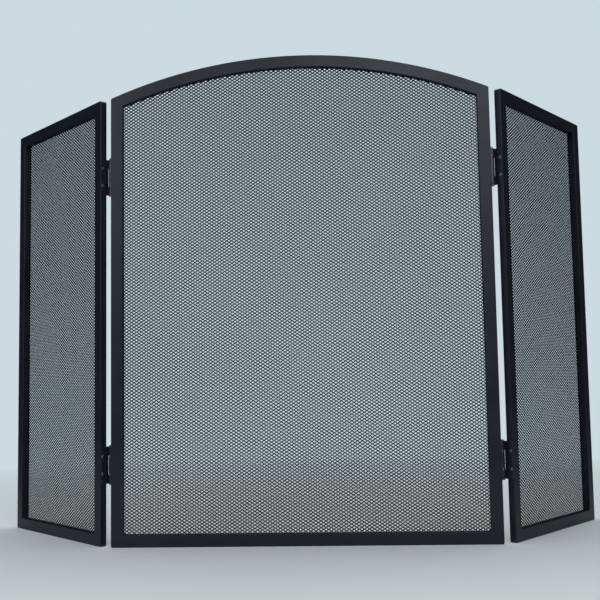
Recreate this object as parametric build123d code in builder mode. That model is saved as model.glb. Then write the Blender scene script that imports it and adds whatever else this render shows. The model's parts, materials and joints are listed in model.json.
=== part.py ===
from build123d import *
import os
from math import asin, atan2, cos, degrees, radians, sin, sqrt

# Three-panel fireplace screen: an arched centre panel with a rectangular side panel hinged to
# each of its edges. Every panel is a mitred frame of flat rectangular steel tube with a steel
# mesh clamped to its back by thin strips and small screws.
#
# Millimetres and degrees. The origin is the middle of the centre panel's underside, halfway
# through the tube. X runs to the right as seen from the room, Y into the fireplace, Z up.

# Panels
centre_width = 660.0
side_width = 329.0
shoulder_height = 777.0
arch_rise = 67.0
left_fold = 46.2  # how far each side panel stands folded back from flat
right_fold = 53.7

# Frame tube
tube_face = 21.0
tube_depth = 12.0
tube_wall = 1.0
tube_edge_radius = 1.2
outer_corner_radius = 4.0
inner_corner_radius = 1.5

# Mesh and the strips that clamp it to the back of the frame
mesh_thickness = 1.4
mesh_overlap = 8.0  # how far the mesh lies on the tube
strip_width = 8.0
strip_thickness = 1.5
strip_setback = 1.5  # from the tube's inner edge to the strip
strip_joint_gap = 0.6

# Mesh screws
mesh_screw_radius = 1.4
mesh_screw_length = 6.5
mesh_screw_head_radius = 2.6
mesh_screw_head_height = 1.2
mesh_screw_spacing = 150.0

# Hinges
panel_gap = 8.0  # between the facing sides of two panels laid flat
hinge_length = 63.5
hinge_inset = 137.5  # from either end of the stile to the hinge's middle
middle_knuckle = 32.0  # of the centre leaf; the side leaf has one beyond each end of it
knuckle_gap = 0.3
barrel_radius = panel_gap / 2
pin_radius = 2.4
pin_head_radius = 3.5
pin_head_height = 1.8
pin_setback = 6.5  # from the tube's back face to the pin's axis
pin_grip_clearance = 0.01  # in the centre leaf, which holds the pin
pin_running_clearance = 0.05  # in the side leaf, which turns on it
leaf_thickness = 1.5
leaf_width = 18.0
leaf_corner_radius = 1.5

# Hinge screws
hinge_screw_radius = 1.9
hinge_screw_length = 8.0
hinge_screw_head_radius = 3.1
hinge_screw_head_height = 1.5
hinge_screw_offset = 15.0  # above and below the hinge's middle
hinge_screw_setback = 4.5  # from the tube's front face

# Holes: a close fit in the tube, which the thread bites into, and room in what it clamps
thread_clearance = 0.02
clamped_clearance = 0.2

# Worked out from the above
pin_to_middle = pin_setback + tube_depth / 2
mesh_inset = tube_face - mesh_overlap
strip_inner_inset = tube_face - strip_setback
strip_outer_inset = strip_inner_inset - strip_width
mesh_screw_inset = (strip_inner_inset + strip_outer_inset) / 2
clamp_thickness = mesh_thickness + strip_thickness
end_knuckle = (hinge_length - middle_knuckle) / 2
hinge_heights = {"lower": hinge_inset, "upper": shoulder_height - hinge_inset}

os.makedirs("parts", exist_ok=True)


def save(piece, name):
    piece.label = name
    export_step(piece, f"parts/{name}.step")


# Front view of a panel. Its own frame has X to the right, Y up from the floor and Z towards the
# room, with the origin at the middle of its underside. A panel with no rise has a straight top.


def arch_radius(width, rise):
    return (width**2 / 4 + rise**2) / (2 * rise)


def shoulder(width, rise, inset):
    """Where a panel's right edge meets its top edge, once both are moved in by inset."""
    half = width / 2 - inset
    if rise == 0:
        return half, shoulder_height - inset
    radius = arch_radius(width, rise)
    arch_centre = shoulder_height + rise - radius
    return half, arch_centre + sqrt((radius - inset) ** 2 - half**2)


def panel_face(width, rise, inset, corner_radius):
    """A panel's outline moved in by inset, as a filled face with rounded corners."""
    half, top = shoulder(width, rise, inset)
    with BuildSketch() as face:
        with BuildLine():
            Polyline((-half, top), (-half, inset), (half, inset), (half, top))
            if rise == 0:
                Line((half, top), (-half, top))
            else:
                ThreePointArc((half, top), (0, shoulder_height + rise - inset), (-half, top))
        make_face()
        fillet(face.vertices(), corner_radius)
    return face.sketch


def mitre_wedges(width, rise):
    """Four front-view areas that part a panel along its mitres: bottom, top, left and right."""
    half, top = shoulder(width, rise, 0)
    inner_top = shoulder(width, rise, tube_face)[1]
    drop = top - inner_top
    # Each mitre line runs on past the tube by the tube's own width at both ends.
    far, near = half + tube_face, half - 2 * tube_face
    low, above_low = -tube_face, 2 * tube_face
    high, below_high = top + drop, inner_top - drop
    roof = top + rise + 2 * tube_face
    top_left = [(-near, below_high), (-far, high), (-far, roof)]
    top_right = [(far, roof), (far, high), (near, below_high)]
    return {
        "bottom": [(-far, low), (far, low), (near, above_low), (-near, above_low)],
        "top": top_left + top_right,
        "left": [(-far, low), (-near, above_low), (-near, below_high), (-far, high)],
        "right": [(far, low), (far, high), (near, below_high), (near, above_low)],
    }


def evenly(length, spacing):
    """Offsets from the middle of a length, about spacing apart, half a step in from both ends."""
    count = round(length / spacing)
    step = length / count
    return [step * (i + 0.5) - length / 2 for i in range(count)]


def mesh_screw_points(width, rise):
    """Screw places along the middle of the four strips of a panel."""
    half, top = shoulder(width, rise, mesh_screw_inset)
    points = [(x, mesh_screw_inset) for x in evenly(2 * half, mesh_screw_spacing)]
    middle = (top + mesh_screw_inset) / 2
    for offset in evenly(top - mesh_screw_inset, mesh_screw_spacing):
        points += [(-half, middle + offset), (half, middle + offset)]
    if rise == 0:
        return points + [(x, top) for x in evenly(2 * half, mesh_screw_spacing)]
    radius = arch_radius(width, rise) - mesh_screw_inset
    arch_centre = shoulder_height + rise - mesh_screw_inset - radius
    for along in evenly(2 * radius * asin(half / radius), mesh_screw_spacing):
        points.append((radius * sin(along / radius), arch_centre + radius * cos(along / radius)))
    return points


# Pieces of a panel


def frame_ring(plane, width, rise, mesh_seats, hinge_seats):
    """The hollow frame before it is parted into its tubes, with its screw holes."""
    with BuildPart() as ring:
        with BuildSketch(plane.offset(-tube_depth / 2)):
            add(panel_face(width, rise, 0, outer_corner_radius))
            add(panel_face(width, rise, tube_face, inner_corner_radius), mode=Mode.SUBTRACT)
        extrude(amount=tube_depth)
        broad_faces = ring.faces().filter_by(Axis(plane.origin, plane.z_dir))
        fillet(broad_faces.edges(), tube_edge_radius)
        cavity_depth = tube_depth - 2 * tube_wall
        with BuildSketch(plane.offset(-cavity_depth / 2)):
            add(panel_face(width, rise, tube_wall, outer_corner_radius))
            add(panel_face(width, rise, tube_face - tube_wall, inner_corner_radius), mode=Mode.SUBTRACT)
        extrude(amount=cavity_depth, mode=Mode.SUBTRACT)
        with Locations(*mesh_seats):
            Hole(mesh_screw_radius + thread_clearance, depth=clamp_thickness + 2 * tube_wall)
        with Locations(*hinge_seats):
            Hole(hinge_screw_radius + thread_clearance, depth=leaf_thickness + 2 * tube_wall)
    return ring.part


def strip_ring(plane, width, rise, mesh_seats):
    """The mesh strips before they are parted, with a narrow gap along each mitre."""
    with BuildPart() as ring:
        with BuildSketch(plane.offset(-tube_depth / 2 - clamp_thickness)):
            add(panel_face(width, rise, strip_outer_inset, outer_corner_radius))
            add(panel_face(width, rise, strip_inner_inset, inner_corner_radius), mode=Mode.SUBTRACT)
            half, top = shoulder(width, rise, 0)
            drop = top - shoulder(width, rise, tube_face)[1]
            for side in (-1, 1):
                with Locations((side * half, 0)):
                    Rectangle(4 * tube_face, strip_joint_gap, rotation=-side * 45, mode=Mode.SUBTRACT)
                with Locations((side * half, top)):
                    slope = degrees(atan2(drop, tube_face))
                    Rectangle(4 * tube_face, strip_joint_gap, rotation=side * slope, mode=Mode.SUBTRACT)
        extrude(amount=strip_thickness)
        with Locations(*mesh_seats):
            Hole(mesh_screw_radius + clamped_clearance, depth=2 * clamp_thickness)
    return ring.part


def parted(ring, plane, outline, name):
    """One member of a ring, cut off along the two mitres beside it."""
    with BuildPart() as member:
        add(ring)
        with BuildSketch(plane):
            Polygon(*outline)
        extrude(amount=tube_depth, both=True, mode=Mode.INTERSECT)
    save(member.part, name)


def mesh_sheet(plane, width, rise, mesh_seats, name):
    """The mesh as a plain sheet of its overall thickness."""
    with BuildPart() as mesh:
        with BuildSketch(plane.offset(-tube_depth / 2 - mesh_thickness)):
            add(panel_face(width, rise, mesh_inset, outer_corner_radius))
        extrude(amount=mesh_thickness)
        with Locations(*mesh_seats):
            Hole(mesh_screw_radius + clamped_clearance, depth=2 * clamp_thickness)
    save(mesh.part, name)


def pan_head_screw(head_radius, head_height, shank_radius, length):
    """A cross-recess screw that stands on the XY plane, with its shank below it."""
    with BuildPart() as screw:
        with BuildSketch():
            Circle(head_radius)
        extrude(amount=head_height)
        fillet(screw.faces().sort_by(Axis.Z)[-1].edges(), 0.6 * head_height)
        with BuildSketch(Plane.XY.offset(head_height)):
            Rectangle(1.1 * head_radius, 0.24 * head_radius)
            Rectangle(0.24 * head_radius, 1.1 * head_radius)
        extrude(amount=-0.5 * head_height, mode=Mode.SUBTRACT)
        with BuildSketch():
            Circle(shank_radius)
        extrude(amount=-length)
        chamfer(screw.faces().sort_by(Axis.Z)[0].edges(), 0.4 * shank_radius)
    return screw.part


def screw_group(screw, seats, name):
    with BuildPart() as group:
        with Locations(*seats):
            add(screw)
    save(group.part, name)


# Hinges. A leaf's own frame has its origin on the pin's axis at the hinge's middle, X towards
# the stile that it is screwed to, Y towards the panel's front and Z along the pin.


def hinge_leaf(plane, knuckles, clearance, screw_seats, name):
    """A rolled steel leaf; each knuckle is its offset from the hinge's middle and its length."""
    leaf_middle = barrel_radius - leaf_thickness / 2
    clear_of_barrel = 0.9 * barrel_radius
    with BuildPart() as leaf:
        with BuildSketch(plane):
            with Locations((leaf_middle, (leaf_width + clear_of_barrel) / 2)):
                Rectangle(leaf_thickness, leaf_width - clear_of_barrel)
        extrude(amount=hinge_length / 2, both=True)
        free_edges = leaf.edges().filter_by(Axis(plane.origin, plane.x_dir))
        front_corners = free_edges.sort_by(lambda edge: plane.to_local_coords(edge.center()).Y)[-2:]
        fillet(front_corners, leaf_corner_radius)
        for offset, length in knuckles:
            with BuildSketch(plane.offset(offset)):
                Circle(barrel_radius)
                with Locations((leaf_middle, barrel_radius / 2)):
                    Rectangle(leaf_thickness, barrel_radius)
                Circle(pin_radius + clearance, mode=Mode.SUBTRACT)
            extrude(amount=(length - knuckle_gap) / 2, both=True)
        with Locations(*screw_seats):
            Hole(hinge_screw_radius + clamped_clearance, depth=2 * leaf_thickness)
    save(leaf.part, name)


def hinge_pin(plane, name):
    """The pin with a flat button head beyond each end of the barrel."""
    head_seat = hinge_length / 2 + knuckle_gap
    with BuildPart() as pin:
        with BuildSketch(plane):
            Circle(pin_radius)
        extrude(amount=head_seat, both=True)
        for end in (-1, 1):
            with BuildSketch(plane.offset(end * head_seat)):
                Circle(pin_head_radius)
            extrude(amount=end * pin_head_height)
        end_faces = pin.faces().filter_by(Axis.Z).sort_by(Axis.Z)
        fillet(end_faces[0].edges() + end_faces[-1].edges(), 0.6 * pin_head_height)
    save(pin.part, name)


def leaf_plane(pin_x, height, towards_stile, towards_front):
    """The frame of a leaf. Its Z points up or down, which a leaf alike at both ends allows."""
    along_pin = towards_stile.cross(towards_front)
    return Plane((pin_x, pin_to_middle, height), x_dir=towards_stile, z_dir=along_pin)


def hinge_screw_seats(plane):
    """Where the two screws of a leaf rest on it, each facing away from the stile."""
    across = barrel_radius - leaf_thickness
    forward = pin_setback + tube_depth - hinge_screw_setback
    seats = []
    for offset in (-hinge_screw_offset, hinge_screw_offset):
        place = plane.from_local_coords((across, forward, offset))
        seats.append(Plane(place, x_dir=plane.y_dir, z_dir=-plane.x_dir))
    return seats


# Panel frames of reference

front = Vector(0, -1, 0)
right = Vector(1, 0, 0)
pin_x = centre_width / 2 + panel_gap / 2
centre_plane = Plane((0, 0, 0), x_dir=right, z_dir=front)


def side_directions(side, fold):
    """Unit vectors outwards along a folded side panel, and out of its front."""
    turn = radians(fold)
    outwards = Vector(side * cos(turn), sin(turn), 0)
    out_of_front = Vector(side * sin(turn), -cos(turn), 0)
    return outwards, out_of_front


def side_plane(side, fold):
    outwards, out_of_front = side_directions(side, fold)
    pin = Vector(side * pin_x, pin_to_middle, 0)
    middle = pin + outwards * (panel_gap / 2 + side_width / 2) + out_of_front * pin_to_middle
    return Plane(middle, x_dir=outwards * side, z_dir=out_of_front)


# Hinges, each with a leaf on the centre panel, a leaf on the side panel and a pin

centre_knuckles = [(0, middle_knuckle)]
side_knuckles = [(end * (middle_knuckle + end_knuckle) / 2, end_knuckle) for end in (-1, 1)]
screw_seats = {"centre": [], "left": [], "right": []}

for side_name, side, fold in (("left", -1, left_fold), ("right", 1, right_fold)):
    outwards, out_of_front = side_directions(side, fold)
    for level, height in hinge_heights.items():
        hinge = f"{side_name}_{level}_hinge"
        on_centre = leaf_plane(side * pin_x, height, right * -side, front)
        on_side = leaf_plane(side * pin_x, height, outwards, out_of_front)
        centre_seats = hinge_screw_seats(on_centre)
        side_seats = hinge_screw_seats(on_side)
        screw_seats["centre"] += centre_seats
        screw_seats[side_name] += side_seats
        hinge_leaf(on_centre, centre_knuckles, pin_grip_clearance, centre_seats, f"{hinge}_centre_leaf")
        hinge_leaf(on_side, side_knuckles, pin_running_clearance, side_seats, f"{hinge}_side_leaf")
        hinge_pin(Plane((side * pin_x, pin_to_middle, height)), f"{hinge}_pin")

# Panels

mesh_screw = pan_head_screw(
    mesh_screw_head_radius, mesh_screw_head_height, mesh_screw_radius, mesh_screw_length
)
hinge_screw = pan_head_screw(
    hinge_screw_head_radius, hinge_screw_head_height, hinge_screw_radius, hinge_screw_length
)
member_names = {
    "centre": {"bottom": "bottom", "top": "arch", "left": "left", "right": "right"},
    "left": {"bottom": "bottom", "top": "top", "left": "outer", "right": "inner"},
    "right": {"bottom": "bottom", "top": "top", "left": "inner", "right": "outer"},
}
panels = {
    "centre": (centre_plane, centre_width, arch_rise),
    "left": (side_plane(-1, left_fold), side_width, 0),
    "right": (side_plane(1, right_fold), side_width, 0),
}

for panel, (plane, width, rise) in panels.items():
    mesh_seats = []
    for x, y in mesh_screw_points(width, rise):
        place = plane.from_local_coords((x, y, -tube_depth / 2 - clamp_thickness))
        mesh_seats.append(Plane(place, x_dir=plane.x_dir, z_dir=-plane.z_dir))
    tubes = frame_ring(plane, width, rise, mesh_seats, screw_seats[panel])
    strips = strip_ring(plane, width, rise, mesh_seats)
    for edge, outline in mitre_wedges(width, rise).items():
        member = member_names[panel][edge]
        tube_kind = "rail" if edge in ("bottom", "top") else "stile"
        parted(tubes, plane, outline, f"{panel}_{member}_{tube_kind}")
        parted(strips, plane, outline, f"{panel}_{member}_mesh_strip")
    mesh_sheet(plane, width, rise, mesh_seats, f"{panel}_mesh")
    screw_group(mesh_screw, mesh_seats, f"{panel}_mesh_screws")
    screw_group(hinge_screw, screw_seats[panel], f"{panel}_hinge_screws")
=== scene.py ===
import json
from math import radians

import bpy
import numpy as np
from mathutils import Matrix, Vector


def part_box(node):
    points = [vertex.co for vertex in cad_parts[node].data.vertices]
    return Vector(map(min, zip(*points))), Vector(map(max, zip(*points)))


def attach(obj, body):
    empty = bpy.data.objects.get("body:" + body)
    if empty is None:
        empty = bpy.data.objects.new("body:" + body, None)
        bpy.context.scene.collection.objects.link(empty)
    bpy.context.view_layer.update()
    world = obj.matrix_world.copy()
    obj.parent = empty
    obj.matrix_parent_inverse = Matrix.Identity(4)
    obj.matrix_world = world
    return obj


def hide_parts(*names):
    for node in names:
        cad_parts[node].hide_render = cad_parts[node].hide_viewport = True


# A three-panel fireplace screen. The CAD gives the tubes, strips, hinges and screws; this
# script gives them their finishes and builds the expanded steel mesh of each panel.
# Metres. X runs to the right as seen from the room, Y into the fireplace, Z up.

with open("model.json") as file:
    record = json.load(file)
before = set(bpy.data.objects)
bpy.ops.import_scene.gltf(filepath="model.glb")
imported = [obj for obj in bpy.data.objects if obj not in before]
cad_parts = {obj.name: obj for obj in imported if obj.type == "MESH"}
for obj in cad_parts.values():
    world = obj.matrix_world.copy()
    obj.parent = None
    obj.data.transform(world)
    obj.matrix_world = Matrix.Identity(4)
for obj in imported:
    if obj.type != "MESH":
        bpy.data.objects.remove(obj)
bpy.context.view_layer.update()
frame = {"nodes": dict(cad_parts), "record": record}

# Expanded mesh
DIAMOND_WIDTH = 0.0086
DIAMOND_HEIGHT = 0.00566
OPENING_SHARE = 0.61  # of a diamond's width and height that is open
STRAND_THICKNESS = 0.0006
STRAND_TILT_DEPTH = 0.0004  # a bond's upper edge stands this far forward, its lower edge back
MESH_EDGE_MARGIN = 0.0003  # least distance from a bond to the sheet's outline
MESH_INSET = 0.013  # from the centre panel's outline to its mesh's
SHEET_THICKNESS = 0.0014
ARCH_RISE = 0.067

# Finishes: noise scales per metre, and distances in metres
MOTTLE_SCALE = 9.0
PEEL_SCALE = 420.0
GRAIN_SCALE = 1500.0
SPECKLE_SCALE = 2600.0
SPECKLE_SHARE = 0.35
# Radii of the painted edge sheen on the coat and of the painted edge highlight on the steel
COAT_EDGE_SHEEN_RADIUS = 0.0012
STEEL_EDGE_HIGHLIGHT_RADIUS = 0.0006
BRUSH_SCALE = (900.0, 900.0, 90.0)
BLOTCH_SCALE = 160.0

# Camera
CAMERA_PLACE = (0.08151, -1.63067, 0.26912)
CAMERA_YAW = 2.955
CAMERA_PITCH = 5.0791
CAMERA_ROLL = 1.0028
LENS_MM = 57.276
SENSOR_MM = 36.0

# Studio
BACKGROUND_COLOUR = (0.60, 0.705, 0.735)
AMBIENT_COLOUR = (0.055, 0.065, 0.08)
FLOOR_COLOUR = (0.86, 0.86, 0.82)
FLOOR_RADIUS = 6.0
FLOOR_FADE = (0.45, 2.0)  # where the floor begins to fade, and where it has gone
KEY_COLOUR = (0.86, 0.94, 1.0)
TOP_COLOUR = (0.93, 0.97, 1.0)


# ---------------------------------------------------------------- node helpers


def new_material(name):
    """An empty node material with its output."""
    material = bpy.data.materials.new(name)
    material.use_nodes = True
    tree = material.node_tree
    tree.nodes.clear()
    return material, tree, tree.nodes.new("ShaderNodeOutputMaterial")


def node(tree, kind, values=None, **settings):
    """A node with its settings, and its inputs set to values or linked to sockets."""
    made = tree.nodes.new(kind)
    for key, value in settings.items():
        setattr(made, key, value)
    for key, value in (values or {}).items():
        if isinstance(value, bpy.types.NodeSocket):
            tree.links.new(value, made.inputs[key])
        else:
            made.inputs[key].default_value = value
    return made


def noise(tree, place, scale, detail=3.0, roughness=0.5):
    values = {"Vector": place, "Scale": scale, "Detail": detail, "Roughness": roughness}
    return node(tree, "ShaderNodeTexNoise", values).outputs["Fac"]


def span(tree, value, low, high, to_low, to_high):
    """Maps low..high to to_low..to_high, held at both ends."""
    values = {"Value": value, "From Min": low, "From Max": high}
    values.update({"To Min": to_low, "To Max": to_high})
    return node(tree, "ShaderNodeMapRange", values).outputs["Result"]


def maths(tree, operation, first, second):
    return node(tree, "ShaderNodeMath", {0: first, 1: second}, operation=operation).outputs[0]


def mixed(tree, share, first, second):
    """Two colours mixed by share."""
    values = {"Factor": share, "A": first, "B": second}
    mixer = tree.nodes.new("ShaderNodeMix")
    mixer.data_type = "RGBA"
    colour_inputs = {s.name: s for s in mixer.inputs if s.type == "RGBA"}
    colour_inputs["Factor"] = mixer.inputs[0]
    for key, value in values.items():
        if isinstance(value, bpy.types.NodeSocket):
            tree.links.new(value, colour_inputs[key])
        else:
            colour_inputs[key].default_value = value
    return next(s for s in mixer.outputs if s.type == "RGBA")


def edge_mask(tree, radius, start, full):
    """0 on flat faces, 1 where a face turns a corner within radius."""
    bevel = node(tree, "ShaderNodeBevel", {"Radius": radius}, samples=6).outputs["Normal"]
    flat = tree.nodes.new("ShaderNodeNewGeometry").outputs["True Normal"]
    along = node(tree, "ShaderNodeVectorMath", {0: bevel, 1: flat}, operation="DOT_PRODUCT")
    return span(tree, along.outputs["Value"], 1.0 - start, 1.0 - full, 0.0, 1.0)


def finish_surface(tree, output, base, roughness, height, bump_distance, fixed):
    """A Principled surface with a bump; fixed values sit on the shader's own sockets."""
    relief = {"Height": height, "Distance": bump_distance, "Strength": 1.0}
    bump = node(tree, "ShaderNodeBump", relief)
    values = {"Base Color": base, "Roughness": roughness, "Normal": bump.outputs["Normal"]}
    shader = node(tree, "ShaderNodeBsdfPrincipled", {**values, **fixed})
    tree.links.new(shader.outputs["BSDF"], output.inputs["Surface"])


# ------------------------------------------------------------------- finishes


def powder_coat(name, dark, light, speckle_and_sheen, low_gloss, high_gloss, peel, edge_sheen_strength, specular):
    """Black powder coat: fine orange peel, soft mottling, lighter speckles, and a painted sheen
    that lightens and glosses the edges.
    """
    material, tree, output = new_material(name)
    place = tree.nodes.new("ShaderNodeTexCoord").outputs["Object"]
    mottle = span(tree, noise(tree, place, MOTTLE_SCALE, 4.0), 0.35, 0.65, 0.0, 1.0)
    fine = noise(tree, place, PEEL_SCALE, 2.0)
    grain = noise(tree, place, GRAIN_SCALE, 2.0)
    speckle = span(tree, noise(tree, place, SPECKLE_SCALE, 1.0), 0.66, 0.78, 0.0, 1.0)
    base = mixed(tree, mottle, (*dark, 1.0), (*light, 1.0))
    base = mixed(tree, maths(tree, "MULTIPLY", speckle, SPECKLE_SHARE), base, (*speckle_and_sheen, 1.0))
    # Painted sheen: where faces turn a corner the coat is mixed towards the lighter speckle colour
    # and made glossier, standing in for light caught on the edges
    edges = edge_mask(tree, COAT_EDGE_SHEEN_RADIUS, 0.02, 0.30)
    painted_edge_sheen = maths(tree, "MULTIPLY", edges, span(tree, fine, 0.35, 0.7, 0.1, 1.0))
    painted_edge_sheen = maths(tree, "MULTIPLY", painted_edge_sheen, edge_sheen_strength)
    base = mixed(tree, painted_edge_sheen, base, (*speckle_and_sheen, 1.0))
    gloss = span(tree, mottle, 0.0, 1.0, low_gloss, high_gloss)
    gloss = maths(tree, "ADD", gloss, maths(tree, "MULTIPLY", painted_edge_sheen, -0.1))
    height = maths(tree, "ADD", fine, maths(tree, "MULTIPLY", grain, 0.35))
    finish_surface(tree, output, base, gloss, height, peel, {"Specular IOR Level": specular})
    return material


def dark_steel(name, dark, light, low_gloss, high_gloss, brush, metallic):
    """Oiled or blackened steel with fine brush marks and a painted highlight that brightens its
    edges.
    """
    material, tree, output = new_material(name)
    place = tree.nodes.new("ShaderNodeTexCoord").outputs["Object"]
    stretched = node(tree, "ShaderNodeMapping", {"Vector": place, "Scale": BRUSH_SCALE})
    marks = noise(tree, stretched.outputs["Vector"], 1.0, 3.0)
    blotch = span(tree, noise(tree, place, BLOTCH_SCALE, 4.0), 0.35, 0.68, 0.0, 1.0)
    # Painted highlight: where faces turn a corner the steel is mixed towards a brighter colour,
    # standing in for light caught on the edges
    edges = edge_mask(tree, STEEL_EDGE_HIGHLIGHT_RADIUS, 0.02, 0.35)
    painted_edge_sheen = maths(tree, "MULTIPLY", edges, span(tree, marks, 0.3, 0.7, 0.2, 0.9))
    base = mixed(tree, blotch, (*dark, 1.0), (*light, 1.0))
    painted_edge_highlight = tuple(min(1.0, 1.8 * c) for c in light)
    base = mixed(tree, painted_edge_sheen, base, (*painted_edge_highlight, 1.0))
    gloss = span(tree, marks, 0.3, 0.7, low_gloss, high_gloss)
    finish_surface(tree, output, base, gloss, marks, brush, {"Metallic": metallic})
    return material


# Each coat's third colour serves both its lighter speckles and its painted edge sheen
materials = {
    "frame_paint": powder_coat(
        "satin_black_powder_coat",
        dark=(0.0050, 0.0068, 0.0100),
        light=(0.0085, 0.0112, 0.0165),
        speckle_and_sheen=(0.040, 0.047, 0.058),
        low_gloss=0.36,
        high_gloss=0.46,
        peel=0.00006,
        edge_sheen_strength=0.35,
        specular=0.32,
    ),
    "strip_paint": powder_coat(
        "satin_black_strip_coat",
        dark=(0.0085, 0.009, 0.0105),
        light=(0.014, 0.015, 0.017),
        speckle_and_sheen=(0.055, 0.058, 0.062),
        low_gloss=0.42,
        high_gloss=0.55,
        peel=0.00007,
        edge_sheen_strength=0.5,
        specular=0.5,
    ),
    "mesh_paint": powder_coat(
        "black_mesh_coat",
        dark=(0.007, 0.0095, 0.0105),
        light=(0.014, 0.018, 0.019),
        speckle_and_sheen=(0.05, 0.056, 0.058),
        low_gloss=0.34,
        high_gloss=0.50,
        peel=0.00003,
        edge_sheen_strength=0.0,
        specular=0.35,
    ),
    "hinge_paint": powder_coat(
        "semi_gloss_black_hinge_coat",
        dark=(0.009, 0.0095, 0.011),
        light=(0.016, 0.017, 0.019),
        speckle_and_sheen=(0.13, 0.13, 0.135),
        low_gloss=0.24,
        high_gloss=0.34,
        peel=0.00003,
        edge_sheen_strength=0.7,
        specular=0.5,
    ),
    "pin_steel": dark_steel(
        "dark_oiled_pin_steel", (0.10, 0.10, 0.105), (0.26, 0.26, 0.27), 0.24, 0.40, 0.00002, 1.0
    ),
    "screw_steel": dark_steel(
        "blackened_screw_steel", (0.12, 0.12, 0.125), (0.24, 0.24, 0.25), 0.24, 0.38, 0.00002, 1.0
    ),
}

for part in frame["record"]["subparts"]:
    piece = frame["nodes"][part["node"]]
    piece.data.materials.clear()
    piece.data.materials.append(materials[part["material_slot"]])


# -------------------------------------------------------------- expanded mesh


def box_middle(name):
    low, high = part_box(name)
    return (low + high) / 2


def panel_axes(panel):
    """The panel's directions along its width, up, and out of its front."""
    if panel == "centre":
        return Vector((1, 0, 0)), Vector((0, 0, 1)), Vector((0, -1, 0))
    inner = box_middle(f"{panel}_inner_stile")
    outer = box_middle(f"{panel}_outer_stile")
    along = (outer - inner if panel == "right" else inner - outer).normalized()
    up = Vector((0, 0, 1))
    return along, up, along.cross(up)


def sheet_frame(panel):
    """The sheet's own frame, from its lowest middle point, with its width and height."""
    along, up, out = panel_axes(panel)
    low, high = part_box(f"{panel}_mesh")
    spread = high - low
    width = (spread.x + spread.y) / (abs(along.x) + abs(along.y)) - SHEET_THICKNESS
    middle = (low + high) / 2
    middle.z = low.z
    turn = Matrix((along, up, out)).transposed()
    return turn, middle, width, spread.z


def inside_sheet(across, up, width, height, rise):
    """Which points lie inside the sheet's outline, by the margin."""
    half = width / 2 - MESH_EDGE_MARGIN
    inside = (np.abs(across) <= half) & (up >= MESH_EDGE_MARGIN)
    if rise == 0:
        return inside & (up <= height - MESH_EDGE_MARGIN)
    outer_width = width + 2 * MESH_INSET
    radius = (outer_width**2 / 4 + rise**2) / (2 * rise) - MESH_INSET
    arch_centre = height - radius
    return inside & (np.hypot(across, up - arch_centre) <= radius - MESH_EDGE_MARGIN)


def bond_grid(width, height, rise):
    """Places of the bonds, where strands meet, and a table from grid place to bond number."""
    half_w, half_h = DIAMOND_WIDTH / 2, DIAMOND_HEIGHT / 2
    bond_w, bond_h = half_w * (1 - OPENING_SHARE), half_h * (1 - OPENING_SHARE)
    columns = int((width - 2 * (MESH_EDGE_MARGIN + bond_w)) / half_w) + 1
    rows = int((height - 2 * (MESH_EDGE_MARGIN + bond_h)) / half_h) + 1
    column, row = np.meshgrid(np.arange(columns), np.arange(rows))
    across = (column - (columns - 1) / 2) * half_w
    up = MESH_EDGE_MARGIN + bond_h + row * half_h
    kept = (column + row) % 2 == 0
    for dx, dy in ((-bond_w, 0), (bond_w, 0), (0, -bond_h), (0, bond_h)):
        kept &= inside_sheet(across + dx, up + dy, width, height, rise)
    number = np.full(kept.shape, -1)
    number[kept] = np.arange(kept.sum())
    return across[kept], up[kept], number


def expanded_mesh(panel, rise):
    """One panel's raised expanded mesh: tilted flat strands between the bonds."""
    turn, origin, width, height = sheet_frame(panel)
    across, up, number = bond_grid(width, height, rise)
    bond_w = DIAMOND_WIDTH / 2 * (1 - OPENING_SHARE)
    bond_h = DIAMOND_HEIGHT / 2 * (1 - OPENING_SHARE)
    count = len(across)
    # A bond's corners: east, north, west, south, first on the front and then on the back.
    corners = ((bond_w, 0, 0), (0, bond_h, 1), (-bond_w, 0, 0), (0, -bond_h, -1))
    points = np.zeros((count, 8, 3))
    for i, (dx, dy, lean) in enumerate(corners):
        for side, level in ((0, 0.5), (4, -0.5)):
            points[:, side + i, 0] = across + dx
            points[:, side + i, 1] = up + dy
            points[:, side + i, 2] = lean * STRAND_TILT_DEPTH + level * STRAND_THICKNESS
    east, north, west, south = range(4)
    first = 8 * np.arange(count)
    quads = [np.stack([first + c for c in (east, north, west, south)], axis=1)]
    rows, columns = number.shape
    lower = number[:-1, :]
    for step in (1, -1):
        near = lower[:, :-1] if step == 1 else lower[:, 1:]
        far = number[1:, 1:] if step == 1 else number[1:, :-1]
        joined = (near >= 0) & (far >= 0)
        p, q = 8 * near[joined], 8 * far[joined]
        if step == 1:
            quads.append(np.stack([p + north, p + east, q + south, q + west], axis=1))
        else:
            quads.append(np.stack([p + west, p + north, q + east, q + south], axis=1))
    front = np.concatenate(quads)
    back = front[:, ::-1] + 4
    # Every edge with a face on one side only gets a wall from the front to the back.
    start, end = front.ravel(), np.roll(front, -1, axis=1).ravel()
    size = 8 * count
    key, reverse = start * size + end, end * size + start
    open_edge = ~np.isin(key, reverse)
    start, end = start[open_edge], end[open_edge]
    walls = np.stack([end, start, start + 4, end + 4], axis=1)
    faces = np.concatenate([front, back, walls])
    flat = points.reshape(-1, 3) @ np.array(turn).T + np.array(origin)
    return flat, faces


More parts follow.
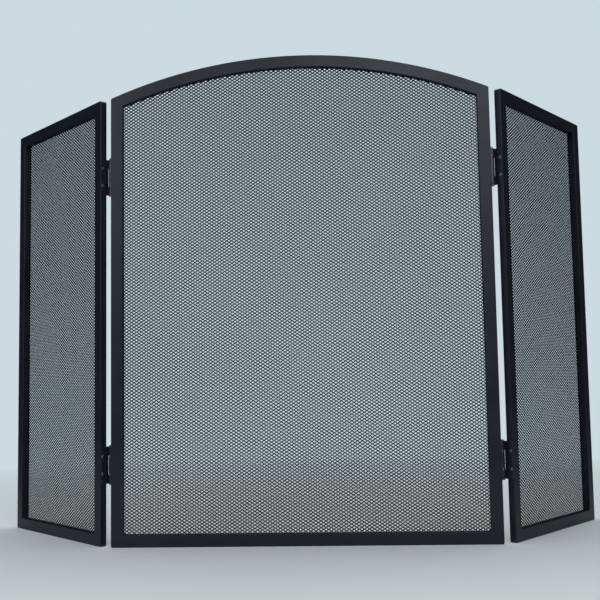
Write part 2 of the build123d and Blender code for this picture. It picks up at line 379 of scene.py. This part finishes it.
def mesh_piece(panel, rise):
    flat, faces = expanded_mesh(panel, rise)
    shape = bpy.data.meshes.new(f"{panel}_expanded_mesh")
    shape.vertices.add(len(flat))
    shape.vertices.foreach_set("co", flat.astype(np.float32).ravel())
    shape.loops.add(faces.size)
    shape.loops.foreach_set("vertex_index", faces.astype(np.int32).ravel())
    shape.polygons.add(len(faces))
    shape.polygons.foreach_set("loop_start", np.arange(0, faces.size, 4, dtype=np.int32))
    shape.update(calc_edges=True)
    shape.materials.append(materials["mesh_paint"])
    piece = bpy.data.objects.new(f"{panel}_expanded_mesh", shape)
    bpy.context.scene.collection.objects.link(piece)
    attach(piece, f"{panel}_panel")
    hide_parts(f"{panel}_mesh")


for panel, rise in (("centre", ARCH_RISE), ("left", 0), ("right", 0)):
    mesh_piece(panel, rise)


# ---------------------------------------------------------------------- stage


def studio_floor():
    """A wide pale floor that fades into the background two metres away."""
    material, tree, output = new_material("pale_studio_floor")
    place = tree.nodes.new("ShaderNodeTexCoord").outputs["Object"]
    tone = span(tree, noise(tree, place, 2.0, 5.0), 0.3, 0.7, 0.97, 1.0)
    tint = node(tree, "ShaderNodeVectorMath", {0: FLOOR_COLOUR, 3: tone}, operation="SCALE")
    grain = noise(tree, place, 300.0, 3.0)
    bump = node(tree, "ShaderNodeBump", {"Height": grain, "Distance": 0.0001, "Strength": 0.4})
    values = {"Base Color": tint.outputs["Vector"], "Normal": bump.outputs["Normal"]}
    values.update({"Roughness": 0.8, "Specular IOR Level": 0.2})
    surface = node(tree, "ShaderNodeBsdfPrincipled", values)
    away = node(tree, "ShaderNodeVectorMath", {0: place}, operation="LENGTH").outputs["Value"]
    fade = span(tree, away, *FLOOR_FADE, 0.0, 1.0)
    clear = node(tree, "ShaderNodeBsdfTransparent")
    mix = node(tree, "ShaderNodeMixShader", {0: fade, 1: surface.outputs[0], 2: clear.outputs[0]})
    tree.links.new(mix.outputs[0], output.inputs["Surface"])
    bpy.ops.mesh.primitive_circle_add(
        vertices=96, radius=FLOOR_RADIUS, fill_type="NGON", location=(0, 0, 0)
    )
    floor = bpy.context.object
    floor.name = "studio_floor"
    floor.data.materials.append(material)


def studio_world():
    """A pale background for the camera and dim soft light for everything else."""
    world = bpy.data.worlds.new("studio")
    bpy.context.scene.world = world
    world.use_nodes = True
    tree = world.node_tree
    tree.nodes.clear()
    seen = node(tree, "ShaderNodeBackground", {"Color": (*BACKGROUND_COLOUR, 1.0), "Strength": 1.0})
    ambient = node(tree, "ShaderNodeBackground", {"Color": (*AMBIENT_COLOUR, 1.0), "Strength": 1.0})
    direct = tree.nodes.new("ShaderNodeLightPath").outputs["Is Camera Ray"]
    mix = node(tree, "ShaderNodeMixShader", {0: direct, 1: ambient.outputs[0], 2: seen.outputs[0]})
    output = tree.nodes.new("ShaderNodeOutputWorld")
    tree.links.new(mix.outputs[0], output.inputs["Surface"])


def soft_light(name, place, target, width, height, power, colour):
    lamp = bpy.data.lights.new(name, "AREA")
    lamp.shape = "RECTANGLE"
    lamp.size = width
    lamp.size_y = height
    lamp.energy = power
    lamp.color = colour
    holder = bpy.data.objects.new(name, lamp)
    holder.location = place
    holder.rotation_mode = "QUATERNION"
    holder.rotation_quaternion = (Vector(target) - Vector(place)).to_track_quat("-Z", "Y")
    bpy.context.scene.collection.objects.link(holder)


def camera():
    lens = bpy.data.cameras.new("camera")
    lens.lens = LENS_MM
    lens.sensor_width = SENSOR_MM
    lens.sensor_fit = "HORIZONTAL"
    lens.clip_start = 0.05
    lens.clip_end = 50.0
    holder = bpy.data.objects.new("camera", lens)
    turn = (
        Matrix.Rotation(radians(CAMERA_YAW), 4, "Z")
        @ Matrix.Rotation(radians(CAMERA_PITCH), 4, "X")
        @ Matrix.Rotation(radians(CAMERA_ROLL), 4, "Y")
        @ Matrix.Rotation(radians(90.0), 4, "X")
    )
    holder.matrix_world = Matrix.Translation(CAMERA_PLACE) @ turn
    bpy.context.scene.collection.objects.link(holder)
    bpy.context.scene.camera = holder


studio_floor()
studio_world()
soft_light("key", (0.9, -2.6, 1.9), (0.0, 0.0, 0.4), 2.2, 1.6, 42.0, KEY_COLOUR)
soft_light("fill", (-1.7, -2.5, 1.5), (0.0, 0.0, 0.4), 1.4, 1.2, 26.0, KEY_COLOUR)
soft_light("top", (0.0, 0.6, 2.6), (0.0, 0.2, 0.0), 2.5, 2.0, 42.0, TOP_COLOUR)
camera()
bpy.context.scene.view_settings.view_transform = "Standard"
